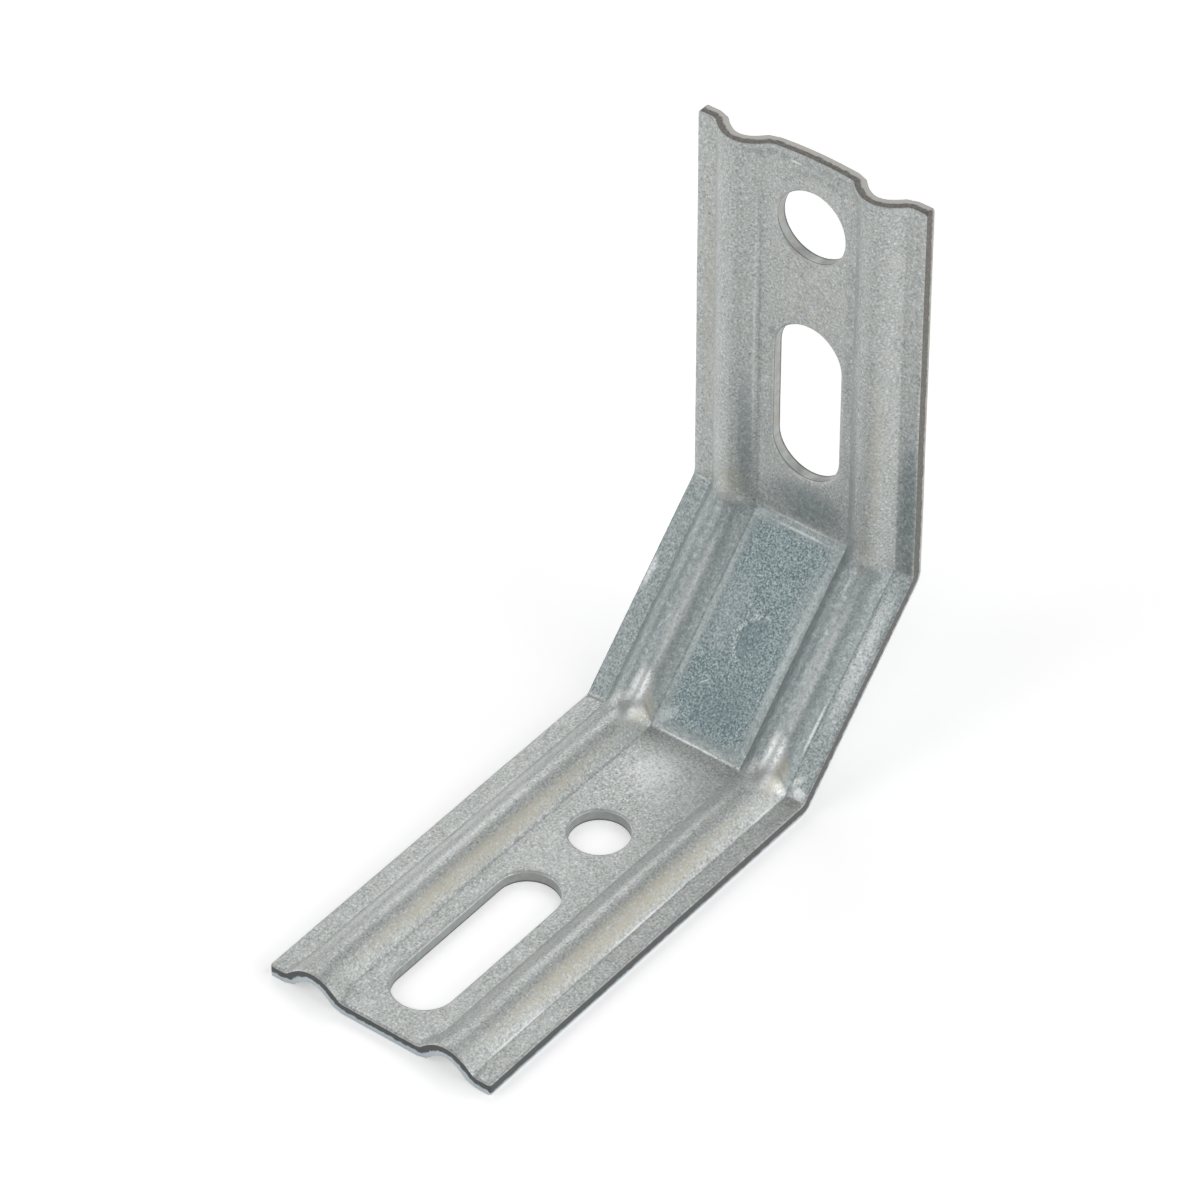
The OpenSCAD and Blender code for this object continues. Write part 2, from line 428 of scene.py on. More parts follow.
class Layout:
    """The strip's points before it is folded, as flat arrays, with the quads between them and the loops of
    points round its cut edges. Quads and loops turn anticlockwise, seen from the inner side. For each point
    there is its stretch and share, its place along and across, its height and slope in the section, and its
    distance from the border and from the nearest hole."""

    def __init__(self, s, wear):
        profile, web_foot = section(s)
        stretch, shares, at, starts = rows_along(s)
        self.starts = starts
        self.total = at[-1]
        across = profile[:, 0]
        rows, cols = len(at), len(across)
        count = rows * cols
        along_rows = [np.repeat(values, cols) for values in (stretch, shares, at)]
        points = [np.stack([*along_rows, np.tile(across, rows), np.full(count, s.strip_w)], 1)]
        index = np.arange(count).reshape(rows, cols)
        kept = np.ones((rows - 1, cols - 1), bool)
        inside = np.zeros((rows, cols), bool)
        web = np.flatnonzero(np.abs(across) <= web_foot + ROUNDING)
        left, right = web[0], web[-1]
        quads, loops = [], []
        for part, centre, total, width in hole_places(s, starts):
            low = np.abs(at - (centre - total / 2 - RING_MARGIN)).argmin()
            high = np.abs(at - (centre + total / 2 + RING_MARGIN)).argmin()
            kept[low:high, left:right] = False
            inside[low + 1:high, left + 1:right] = True
            rectangle = (low, high, left, right)
            rings, gap, on_row, on_col = hole_rings(at, across, rectangle, centre, total - width, width / 2)
            place = rings.reshape(-1, 2)
            part_share = (place[:, 0] - starts[part]) / (starts[part + 1] - starts[part])
            if part == LEVEL:
                part_share = 1 - part_share
            points.append(np.column_stack([np.full(gap.size, part), part_share, place, gap.ravel()]))
            numbers = count + np.arange(gap.size).reshape(gap.shape)
            ring = np.concatenate([numbers, index[on_row, on_col][None]])
            ahead = np.roll(ring, -1, 1)
            quads.append(np.stack([ring[1:], ahead[1:], ahead[:-1], ring[:-1]], -1).reshape(-1, 4))
            loops.append((ring[0], True))
            count += gap.size
        squares = np.stack([index[:-1, :-1], index[:-1, 1:], index[1:, 1:], index[1:, :-1]], -1)
        quads.insert(0, squares[kept])
        border = np.concatenate([index[0, :-1], index[:-1, -1], index[-1, :0:-1], index[:0:-1, 0]])
        loops.append((border, False))
        points = np.concatenate(points)
        used = np.ones(len(points), bool)
        used[:rows * cols] = ~inside.ravel()
        renumber = np.cumsum(used) - 1
        points = points[used]
        self.quads = renumber[np.concatenate(quads)]
        self.loops = [(renumber[loop], is_hole) for loop, is_hole in loops]
        self.stretch = points[:, 0].astype(int)
        self.share, self.at, self.across, self.hole_gap = points[:, 1:].T
        end_gap = np.minimum(self.at, self.total - self.at)
        self.border_gap = np.minimum(s.strip_w / 2 - np.abs(self.across), end_gap)
        opened = ease(1 - end_gap / wear.end_reach)
        height, slope = (np.interp(self.across, across, values) for values in profile[:, 1:].T)
        end_height, end_slope = end_section(s, wear, self.across)
        self.height = height + (end_height - height) * opened
        self.slope = slope + (end_slope - slope) * opened
        self.round_corners(s)

    def round_corners(self, s):
        """Moves the points of each corner square onto a quarter disc. A point at shares p and q of a square
        goes to p times the root of 1 less half of q squared, and the same with p and q changed over."""
        radius = s.corner_r
        side = s.strip_w / 2 - radius
        p = (np.abs(self.across) - side) / radius
        end = np.maximum(radius - self.at, self.at - (self.total - radius)) / radius
        corner = (p > 0) & (end > 0)
        p, q = p[corner], end[corner]
        self.across[corner] = np.sign(self.across[corner]) * (side + radius * p * np.sqrt(1 - q * q / 2))
        moved = radius * q * np.sqrt(1 - p * p / 2)
        level = self.at[corner] < self.total / 2
        new_at = np.where(level, radius - moved, self.total - radius + moved)
        run = np.where(level, self.starts[1], self.total - self.starts[4])
        new_share = np.where(level, 1 - new_at / run, (new_at - self.starts[4]) / run)
        self.at[corner], self.share[corner] = new_at, new_share


def fold(s, stretch, share_in, height, level):
    """Side view places of points, as x and z. A point stands on a line square to the strip at its own tilt,
    as far from its fold's axis as the fold radius less its level, and a straight stretch carries it on
    along the strip. The fold radius grows with the height of the inner face."""
    radius = s.fold_r + (s.rib_fold_r - s.fold_r) * height / s.rib_h
    low, high = fold_start(s, radius)
    middle_tilt, upright = s.middle_slope, np.pi / 2
    run_x, rise = s.middle_len * np.cos(middle_tilt), s.middle_len * np.sin(middle_tilt)
    upright_x = s.sheet_t - (s.sheet_t + run_x + s.lower_len) / 2
    corners = np.array([[upright_x + run_x, s.sheet_t], [upright_x, s.sheet_t + rise]])
    before, after = np.array([0.0, middle_tilt]), np.array([middle_tilt, upright])
    which = (stretch >= UPPER_FOLD).astype(int)
    first = np.array([0, 0, middle_tilt, middle_tilt, upright])
    last = np.array([0, middle_tilt, middle_tilt, upright, upright])
    tilt = first[stretch] + (last - first)[stretch] * share_in
    run = np.select(
        [stretch == LEVEL, stretch == MIDDLE, stretch == UPRIGHT],
        [low - s.lower_len, s.middle_len - low - high, s.upper_len - high],
        0.0,
    ) * share_in
    half = (after - before)[which] / 2
    lean = before[which] + half
    square = np.stack([np.sin(tilt), np.cos(tilt)], 1)
    ahead = np.stack([-np.cos(tilt), np.sin(tilt)], 1)
    axis = corners[which] + (radius / np.cos(half))[:, None] * np.stack([np.sin(lean), np.cos(lean)], 1)
    return axis - (radius - level)[:, None] * square + run[:, None] * ahead


def slow_waves(at, across, seed, amount):
    """Slow waves in the sheet: twice the amount times the mean of some sines, whose directions, lengths and
    phases are drawn from the seed."""
    draw = np.random.default_rng(seed)
    turn = draw.uniform(0, np.pi, WAVE_COUNT)
    size = draw.uniform(*WAVE_SIZES, WAVE_COUNT)
    phase = draw.uniform(0, 2 * np.pi, WAVE_COUNT)
    place = at[:, None] * np.cos(turn) + across[:, None] * np.sin(turn)
    return 2 * amount * np.sin(2 * np.pi * place / size + phase).mean(1)


def pressed_in(s, wear, plan, seed):
    """How far the whole sheet stands off its true face, towards the inside of the angle: the upright web's
    bow, the dip of the middle's panel, wrinkles across the ribs at the folds, and slow waves. The bow is 1
    less the square of the share across the web, and doubles over the leg's upper half. The wrinkles are a
    sine along the strip that fades with the square of the distance from the fold."""
    web = s.rib_pitch / 2 - rib_half(s, s.web_flank)
    up = (plan.at - plan.starts[UPRIGHT]) / s.upper_len
    arc = 1 - np.clip(plan.across / (web + WEB_MARGIN), -1, 1) ** 2
    bow = ease(up / BOW_RISE) * (1 + ease(2 * up - 1)) / 2 * arc
    middle = np.minimum(plan.at - plan.starts[MIDDLE], plan.starts[UPPER_FOLD] - plan.at)
    panel = ease(middle - PANEL_MARGIN) * ease(web - np.abs(plan.across) - WEB_MARGIN)
    folds = plan.starts[LOWER_FOLD:UPRIGHT + 1].reshape(2, 2).mean(1)
    from_fold = np.abs(plan.at[:, None] - folds).min(1)
    fan = np.exp(-(from_fold / WRINKLE_REACH) ** 2) * ease(plan.height / WRINKLE_FULL)
    wrinkle = np.sin(2 * np.pi * plan.at / WRINKLE_GAP + WRINKLE_SLANT * plan.across) * fan
    waves = slow_waves(plan.at, plan.across, seed, wear.waviness)
    return waves - wear.web_bow * bow * (up > 0) - wear.panel_dip * panel + wear.wrinkles * wrinkle


def strip_mesh(s, wear, seed):
    """The closed strip, as points, quads, each quad's finish, and each point's place in the flat strip and
    nearness to a hole's rim, from 0 to 1. The inner layer is the section folded. The outer layer lies one
    thickness below it, square to the section's slope. Both are rounded near the cut edges by a depth times
    the band's share, and rows of points on straight lines between them close the edges."""
    plan = Layout(s, wear)
    lift = pressed_in(s, wear, plan, seed)
    gap = np.minimum(plan.border_gap, plan.hole_gap)
    rolled = wear.roll_depth * band(gap, wear.roll_w)
    punched = wear.punch_depth * band(plan.hole_gap, wear.punch_w)
    rounded = wear.burr_depth * band(gap, wear.burr_w)
    inner_level = plan.height + lift - (rolled + punched)
    outer_level = plan.height + lift - s.sheet_t * np.cos(plan.slope) + rounded
    inner = fold(s, plan.stretch, plan.share, plan.height, inner_level)
    outer = fold(s, plan.stretch, plan.share, plan.height, outer_level)
    inner = np.stack([inner[:, 0], plan.across, inner[:, 1]], 1)
    outer = np.stack([outer[:, 0], plan.across + s.sheet_t * np.sin(plan.slope), outer[:, 1]], 1)
    per_layer, wall_rows = len(inner), len(WALL_ROWS)
    flat = np.stack([plan.at, plan.across], 1)
    points = [inner, outer]
    places = [np.column_stack([flat, np.full(per_layer, depth)]) for depth in (0.0, 1.0)]
    # The rim share paints a highlight round each hole
    rim = [band(plan.hole_gap, RIM_HIGHLIGHT), np.zeros(per_layer)]
    quads = [plan.quads, plan.quads[:, ::-1] + per_layer]
    finish = [np.full(len(layer), ZINC, np.int32) for layer in quads]
    count = 2 * per_layer
    for loop, is_hole in plan.loops:
        wall = inner[loop] + (outer[loop] - inner[loop]) * WALL_ROWS[:, None, None]
        points.append(wall.reshape(-1, 3))
        depth = np.repeat(WALL_ROWS, len(loop))
        places.append(np.column_stack([np.tile(flat[loop], (wall_rows, 1)), depth]))
        rim.append(np.zeros(depth.size))
        between = count + np.arange(depth.size).reshape(wall_rows, -1)
        ring = np.concatenate([loop[None], between, loop[None] + per_layer])
        ahead = np.roll(ring, -1, 1)
        wall_quads = np.stack([ring[:-1], ahead[:-1], ahead[1:], ring[1:]], -1).reshape(-1, 4)
        quads.append(wall_quads if is_hole else wall_quads[:, ::-1])
        finish.append(np.full(len(wall_quads), HOLE_WALL if is_hole else CUT_EDGE, np.int32))
        count += depth.size
    return [np.concatenate(part) for part in (points, quads, finish, places, rim)]


def new_mesh_object(name, points, quads):
    """A mesh object at the origin, from points in millimetres and quads."""
    mesh = bpy.data.meshes.new(name)
    mesh.from_pydata((points * MM).tolist(), [], quads.tolist())
    mesh.validate()
    piece = bpy.data.objects.new(name, mesh)
    bpy.context.scene.collection.objects.link(piece)
    return piece


class Nodes:
    """A short hand for building a material's nodes."""

    def __init__(self, name):
        self.material = bpy.data.materials.new(name)
        self.material.use_nodes = True
        self.tree = self.material.node_tree
        self.tree.nodes.clear()

    def add(self, kind, inputs=None, **settings):
        """One node, with its settings, and its inputs set to values or linked to other outputs."""
        node = self.tree.nodes.new(kind)
        for key, value in settings.items():
            setattr(node, key, value)
        for key, value in (inputs or {}).items():
            if isinstance(value, bpy.types.NodeSocket):
                self.tree.links.new(value, node.inputs[key])
            else:
                node.inputs[key].default_value = value
        return node

    def math(self, operation, a, b=0.0):
        """One Math node of two inputs."""
        return self.add("ShaderNodeMath", {0: a, 1: b}, operation=operation).outputs[0]

    def away(self, value, centre):
        """How far a value is from a centre, on either side."""
        return self.math("ABSOLUTE", self.math("SUBTRACT", value, centre))

    def vector_length(self, vector):
        """The length of a vector."""
        return self.add("ShaderNodeVectorMath", {0: vector}, operation="LENGTH").outputs["Value"]

    def both(self, *values):
        """The product of several values."""
        product = values[0]
        for value in values[1:]:
            product = self.math("MULTIPLY", product, value)
        return product

    def most(self, values):
        """The largest of several values."""
        largest = values[0]
        for value in values[1:]:
            largest = self.math("MAXIMUM", largest, value)
        return largest

    def ramp(self, value, low, high, to_low=0.0, to_high=1.0):
        """Maps a value from one range to another along a smooth step, clamped."""
        inputs = {"Value": value, "From Min": low, "From Max": high, "To Min": to_low, "To Max": to_high}
        node = self.add("ShaderNodeMapRange", inputs, interpolation_type="SMOOTHSTEP", clamp=True)
        return node.outputs[0]

    def mix(self, share_in, a, b):
        """One Mix node of two colours."""
        node = self.add("ShaderNodeMix", data_type="RGBA")
        for socket, value in ((node.inputs[0], share_in), (node.inputs[6], a), (node.inputs[7], b)):
            if isinstance(value, bpy.types.NodeSocket):
                self.tree.links.new(value, socket)
            else:
                socket.default_value = value if isinstance(value, float) else (*value, 1.0)
        return node.outputs[2]

    def bump(self, height, strength, depth):
        """One Bump node, with its depth in millimetres."""
        inputs = {"Height": height, "Strength": strength, "Distance": depth * MM}
        return self.add("ShaderNodeBump", inputs).outputs[0]

    def noise(self, place, scale, detail, roughness):
        """One Noise node, with its scale in grains a millimetre."""
        inputs = {"Vector": place, "Scale": scale, "Detail": detail, "Roughness": roughness}
        return self.add("ShaderNodeTexNoise", inputs).outputs[0]

    def object_place(self):
        """The Object coordinates, in millimetres."""
        raw = self.add("ShaderNodeTexCoord").outputs["Object"]
        return self.add("ShaderNodeVectorMath", {0: raw, "Scale": 1 / MM}, operation="SCALE").outputs[0]

    def strip_place(self):
        """The place in the flat strip, as a vector and as along, across and depth."""
        strip = self.add("ShaderNodeAttribute", attribute_name="strip").outputs["Vector"]
        return strip, *self.add("ShaderNodeSeparateXYZ", {0: strip}).outputs

    def mark(self, strip, at, across, half_long, half_wide, turn, soft=0.7):
        """An oval mark on the inner face, 1 at its middle and 0 outside it. Its length lies along the strip
        before it is turned, and the soft share of it fades."""
        inputs = {
            "Vector": strip, "Location": (at, across, 0.0), "Rotation": (0.0, 0.0, np.radians(turn)),
            "Scale": (half_long, half_wide, MARK_DEPTH),
        }
        inside = self.add("ShaderNodeMapping", inputs, vector_type="TEXTURE").outputs[0]
        return self.ramp(self.vector_length(inside), 1.0, 1.0 - soft)

    def marks(self, strip, rows, break_up):
        """The strongest of a list of marks at each place, partly broken up by noise."""
        return self.most([self.both(self.mark(strip, *row[:5]), row[5], break_up) for row in rows])

    def window(self, value, low, high, fade):
        """1 between two values and 0 outside them, with smooth ends."""
        rise = self.ramp(value, low - fade, low + fade)
        fall = self.ramp(value, high - fade, high + fade, 1.0, 0.0)
        return self.math("MULTIPLY", rise, fall)

    def finish(self, **inputs):
        """Ends the material with one Principled shader."""
        names = {name.replace("_", " ").title(): value for name, value in inputs.items()}
        shader = self.add("ShaderNodeBsdfPrincipled", names)
        self.add("ShaderNodeOutputMaterial", {"Surface": shader.outputs[0]})
        return self.material


# The share of the thickness into which a mark reaches
MARK_DEPTH = 0.3
# Marks on the inner face: place along and across, half length, half width, turn in degrees, strength. Some
# are scuffs, smudges and spots, and many are painted highlights and painted shade, noted above their rows
PALE_AND_HIGHLIGHT_MARKS = [
    # Painted light on the level web next to the lower fold
    (50.0, -1.2, 5.4, 4.2, 20, 0.5),
    (50.0, 0.0, 7.0, 7.5, 0, 0.25),
    # Painted highlights along the fold lines
    (55.25, 0.0, 0.2, 6.0, 0, 0.7),
    (82.45, 0.3, 0.18, 6.0, 0, 0.7),
    (81.6, 0.5, 0.2, 5.6, 0, 0.45),
    # Painted highlights on the ribs at the lower fold
    (56.8, -8.3, 4.0, 1.5, 0, 1.0),
    (57.0, 10.0, 4.2, 1.4, 0, 1.0),
    (62.8, 12.3, 4.4, 0.16, 0, 0.8),
    # Painted highlights on the flanges at the folds
    (55.9, 13.9, 0.8, 1.3, 0, 0.6),
    (57.0, 13.1, 1.7, 0.6, 35, 0.5),
    (54.9, -13.6, 0.4, 1.6, 0, 0.6),
    (82.3, -13.8, 0.3, 1.4, 0, 0.6),
    (8.0, 12.45, 7.0, 0.16, 0, 0.7),
    (30.0, 12.45, 9.0, 0.16, 0, 0.8),
    (51.0, 12.45, 3.4, 0.18, 0, 0.8),
    # Painted light on the level leg's rib flanks that face -Y
    (27.0, -11.0, 32.0, 2.6, 0, 0.45),
    (27.0, 8.0, 32.0, 1.8, 0, 0.35),
    (91.4, 0.3, 3.2, 5.6, 0, 0.5),
    # A painted highlight on the rolled edge under the upper cut end
    (131.2, -2.2, 0.2, 1.3, 0, 0.9),
    (72.0, 13.6, 12.0, 1.3, 0, 0.4),
    (70.5, -14.6, 2.6, 0.6, 0, 0.6),
    (62.2, -2.6, 0.9, 0.12, 48, 0.7),
    # Painted highlight streaks beside the rib crests in the middle
    (68.0, -8.2, 16.0, 1.0, 0, 0.5),
    (68.0, 10.1, 16.0, 1.0, 0, 0.5),
    (69.0, -5.7, 14.0, 0.55, 0, 0.2),
    (70.0, 5.3, 14.0, 0.7, 0, 0.25),
    (57.2, -4.9, 2.0, 1.2, 45, 0.3),
    (107.0, -6.65, 25.0, 0.14, 0, 0.4),
]
DARK_AND_SHADE_MARKS = [
    (131.5, 0.0, 0.8, 14.5, 0, 0.45),
    (130.1, 1.2, 0.8, 5.4, 0, 0.5),
    (131.0, 3.6, 0.5, 1.1, 0, 0.6),
    (131.1, -7.2, 1.0, 0.12, 8, 0.7),
    (110.8, 3.8, 0.4, 0.5, 0, 0.6),
    (107.4, -4.7, 1.2, 0.6, 0, 0.6),
    # Painted shade in the creases at the right rib's feet in the middle
    (69.0, 12.1, 13.0, 0.3, 0, 0.5),
    (69.0, 6.2, 12.5, 0.2, 0, 0.4),
    # Painted shade on the rib flanks in the middle
    (69.0, -9.5, 14.0, 0.9, 0, 0.5),
    (69.0, 9.0, 14.0, 0.9, 0, 0.5),
    (69.0, -11.6, 14.0, 1.4, 0, 0.4),
    (69.0, 7.4, 14.0, 1.0, 0, 0.4),
    (69.0, -6.8, 12.5, 0.5, 0, 0.5),
    # Painted shade in the crease at the left rib's web foot, on both legs
    (28.0, -6.25, 29.0, 0.14, 0, 0.6),
    (108.0, -6.3, 26.0, 0.14, 0, 0.5),
    (119.3, -13.4, 0.3, 0.3, 0, 0.7),
    (112.0, 5.5, 22.0, 0.9, 0, 0.35),
    # Painted shade on the upright leg just above the upper fold
    (85.4, 1.0, 3.6, 6.6, 0, 0.4),
    (90.0, 14.2, 14.0, 2.4, 0, 0.55),
    (88.0, -7.2, 8.0, 0.9, 0, 0.4),
]
BEIGE_TINT_AND_PAINTED_LIGHT_MARKS = [
    # Painted shade: a darker warm tone on the level leg's rib flanks that face +Y
    (27.5, -7.3, 31.0, 1.15, 0, 1.0),
    (27.5, 11.2, 31.0, 1.4, 0, 1.0),
    # Painted highlights, warm in tone, on the ribs at the folds
    (55.9, -7.2, 2.2, 1.2, 0, 1.0),
    (56.0, 11.2, 2.4, 1.2, 0, 1.0),
    (84.0, -8.8, 2.2, 2.4, 0, 0.7),
    (83.6, 10.0, 1.8, 1.6, 0, 0.5),
    (98.0, 10.6, 16.0, 1.0, 0, 0.5),
    (106.0, -13.3, 24.0, 1.2, 0, 0.5),
    (112.0, 0.0, 24.0, 6.2, 0, 0.15),
]
# Painted shade: a darker blue tint on the upright leg just above the upper fold
BLUE_SHADE_MARKS = [
    (92.0, 14.0, 14.0, 1.9, 0, 1.0),
    (85.6, 0.5, 3.4, 6.6, 0, 0.9),
    (92.0, -7.3, 12.0, 0.9, 0, 0.8),
    (97.0, 7.0, 16.0, 1.3, 0, 0.6),
]


# The ends of the middle along the strip, and the two sides of a rib across it
MIDDLE_ENDS = (55.4, 82.4)
RIB_SIDES = (5.9, 12.4)
# The speckled panel: its middle, half its length and width, its corners' radius, and how far it is torn
PANEL_AT, PANEL_ACROSS = 68.9, -0.2
PANEL_HALF_LONG, PANEL_HALF_WIDE, PANEL_CORNER = 12.4, 5.2, 1.8
PANEL_TORN = 0.6
# The round press mark on it: its middle, and the two radii of its bright edge
PRESS_MIDDLE = (68.4, 1.7, 0.0)
PRESS_INNER, PRESS_OUTER = 3.05, 3.35


def shaded(tone, factor):
    """A colour made darker or lighter by a factor."""
    return [factor * part for part in tone]


def press_panel(n, look, strip, along, across, depth):
    """The pressed panel, as its share and its colour at each place: a rounded rectangle with a torn outline,
    speckled with dark and pale grains, with one edge of a round press mark inside it. Its dark tone is
    partly the coating's own and partly painted shade. A place lies in the rectangle where its distance from
    a smaller one, without the corners, is under their radius."""
    place = n.object_place()
    beyond_long = n.math("SUBTRACT", n.away(along, PANEL_AT), PANEL_HALF_LONG - PANEL_CORNER)
    beyond_wide = n.math("SUBTRACT", n.away(across, PANEL_ACROSS), PANEL_HALF_WIDE - PANEL_CORNER)
    beyond = n.add("ShaderNodeCombineXYZ", {
        0: n.math("MAXIMUM", beyond_long, 0.0), 1: n.math("MAXIMUM", beyond_wide, 0.0), 2: 0.0,
    }).outputs[0]
    tear = n.ramp(n.noise(place, 1.5, 4.0, 0.7), 0.3, 0.7, -PANEL_TORN, PANEL_TORN)
    torn = n.math("ADD", n.vector_length(beyond), tear)
    inside = n.both(n.ramp(torn, PANEL_CORNER + 0.6, PANEL_CORNER - 0.6), n.ramp(depth, 0.1, 0.02))
    coarse = n.noise(place, 4.2, 2.0, 0.72)
    tone = n.mix(n.ramp(coarse, 0.38, 0.55), look.panel_dark, look.panel)
    tone = n.mix(n.ramp(coarse, 0.56, 0.72, 0.0, 0.7), tone, look.zinc_light)
    worn = [n.mark(strip, 70.5, -3.6, 8.0, 3.0, 0, 1.0), n.mark(strip, 74.0, 4.2, 8.0, 1.6, 0, 1.0)]
    tone = n.mix(n.both(n.most(worn), 0.3), tone, look.zinc)
    dull = n.mark(strip, 60.5, 0.5, 5.0, 4.8, 0, 0.8)
    tone = n.mix(n.both(dull, 0.3), tone, look.panel_dark)
    ends = {0: strip, 1: PRESS_MIDDLE}
    disc = n.add("ShaderNodeVectorMath", ends, operation="DISTANCE").outputs["Value"]
    fading = n.ramp(across, 3.2, -0.6)
    tone = n.mix(n.both(n.ramp(disc, PRESS_INNER, 2.85), fading, 0.4), tone, look.panel_dark)
    ragged = n.math("ADD", disc, n.ramp(n.noise(place, 2.4, 2.0, 0.6), 0.3, 0.7, -0.25, 0.25))
    broken = n.ramp(coarse, 0.38, 0.58, 0.1, 0.9)
    bright = n.window(ragged, PRESS_INNER, PRESS_OUTER, 0.15)
    arc = n.both(bright, fading, n.ramp(along, 64.0, 70.5, 0.3, 0.8), broken)
    return inside, n.mix(arc, tone, look.zinc_light)


def zinc_material(look):
    """Dull zinc: a pale grey metal with a fine grain, warm and cool tints, a speckled panel pressed into the
    middle, the marks of tools and handling, painted highlights and painted shade on the folds, creases and
    rib flanks, a darker blue painted reflection over the middle, and a painted highlight round each hole.
    The ribs are a little smoother where they are drawn over the middle."""
    n = Nodes("zinc_coating")
    place = n.object_place()
    strip, along, across, depth = n.strip_place()
    from_axis = n.away(across, 0.0)
    grain = n.noise(place, 3.8, 2.0, 0.7)
    lumps = n.noise(place, 1.5, 2.0, 0.5)
    cloud = n.noise(place, 0.3, 3.0, 0.6)
    base = n.mix(n.ramp(grain, 0.28, 0.5, 0.15, 1.0), look.zinc_dark, look.zinc)
    base = n.mix(n.ramp(grain, 0.5, 0.72), base, look.zinc_light)
    base = n.mix(n.ramp(cloud, 0.42, 0.7, 0.0, 0.2), base, look.zinc_light)
    base = n.mix(n.ramp(lumps, 0.45, 0.62, 0.0, 0.25), base, look.beige)
    patchy = n.ramp(lumps, 0.35, 0.6, 0.55, 1.0)
    # The cool tint shows the whole grain on the flanges, and an evener one between them
    even = n.ramp(from_axis, 12.2, 12.8, 0.3, 0.0)
    cool = n.ramp(grain, 0.36, 0.64, even, n.math("SUBTRACT", 1.0, even))
    cool = n.mix(cool, shaded(look.blue, 0.72), shaded(look.blue, 1.3))
    # Painted reflection: the whole middle and the blue marks take the darker blue tint, with the coating's
    # grain in it
    middle = n.both(n.window(along, *MIDDLE_ENDS, 0.4), patchy)
    base = n.mix(n.both(n.most([n.marks(strip, BLUE_SHADE_MARKS, patchy), middle]), 0.8), base, cool)
    # Warm tint, with painted shade on flanks that face +Y and painted highlights at the folds
    base = n.mix(n.both(n.marks(strip, BEIGE_TINT_AND_PAINTED_LIGHT_MARKS, patchy), 0.8), base, look.beige)
    inside, panel = press_panel(n, look, strip, along, across, depth)
    base = n.mix(inside, base, panel)
    broken = n.ramp(n.noise(place, 1.6, 3.0, 0.7), 0.36, 0.6)
    # Painted shade in creases, on rib flanks and above the upper fold, besides smudges and spots
    base = n.mix(n.marks(strip, DARK_AND_SHADE_MARKS, broken), base, look.zinc_dark)
    # A painted highlight along each hole's rim
    rim = n.both(n.add("ShaderNodeAttribute", attribute_name="rim").outputs["Fac"], 0.5)
    # Painted highlights on folds, crests, flanks and edges, besides scuffs, and the painted highlight round
    # the holes
    pale = n.most([n.marks(strip, PALE_AND_HIGHLIGHT_MARKS, n.ramp(grain, 0.3, 0.5, 0.4, 1.0)), rim])
    base = n.mix(pale, base, look.zinc_light)
    drawn = n.both(n.window(from_axis, *RIB_SIDES, 0.3), n.window(along, 54.0, 84.0, 1.5), 0.05)
    smooth = n.most([drawn, n.both(pale, 0.14)])
    rough = n.math("SUBTRACT", n.ramp(grain, 0.35, 0.65, 0.54, 0.46), smooth)
    return n.finish(base_color=base, metallic=0.7, roughness=rough, normal=n.bump(grain, 0.14, 0.04))


def cut_material(look):
    """A cut edge: a dark sheared band towards the inner face, and a paler one with zinc drawn over it. The
    dark band is widened by painted shade on the long edges, and is colder towards the level leg's end. The
    paler band turns to the tone of a hole's wall on the upright leg."""
    n = Nodes("cut_edge")
    place = n.object_place()
    _, along, across, depth = n.strip_place()
    streak = n.noise(place, 3.0, 3.0, 0.6)
    # Painted shade: the dark band reaches further on the long edges
    long_edge_shade = n.ramp(n.away(across, 0.0), 14.6, 14.95, 0.0, 0.24)
    border = n.math("ADD", depth, n.ramp(n.noise(place, 1.3, 3.0, 0.7), 0.3, 0.7, -0.08, 0.08))
    dark = n.mix(n.ramp(streak, 0.35, 0.65), shaded(look.cut_dark, 0.6), look.cut_dark)
    dark = n.mix(n.ramp(along, 0.0, 110.0, 0.85, 0.0), dark, look.cut_cold)
    light = n.mix(n.ramp(along, 60.0, 110.0), look.cut_light, look.hole_wall)
    base = n.mix(n.ramp(n.math("SUBTRACT", border, long_edge_shade), 0.46, 0.6), dark, light)
    return n.finish(base_color=base, metallic=0.6, roughness=0.5, normal=n.bump(streak, 0.4, 0.05))


def wall_material(look):
    """The wall of a punched hole: burnished and pale, and a little darker on the level leg. A thin dark line
    runs at the outer rim, and on the upright leg one at the inner rim too."""
    n = Nodes("hole_wall")
    place = n.object_place()
    _, along, _, depth = n.strip_place()
    streak = n.noise(place, 1.2, 1.0, 0.5)
    tone = n.mix(n.ramp(streak, 0.35, 0.65), look.hole_wall, look.zinc)
    tone = n.mix(n.ramp(along, 45.0, 90.0, 0.4, 0.0), tone, look.zinc_dark)
    inner_rim = n.both(n.ramp(depth, 0.14, 0.02), n.ramp(along, 60.0, 90.0))
    outer_rim = n.ramp(depth, 0.78, 0.94)
    base = n.mix(n.both(n.most([inner_rim, outer_rim]), 0.85), tone, look.cut_cold)
    return n.finish(base_color=base, metallic=0.5, roughness=0.5)


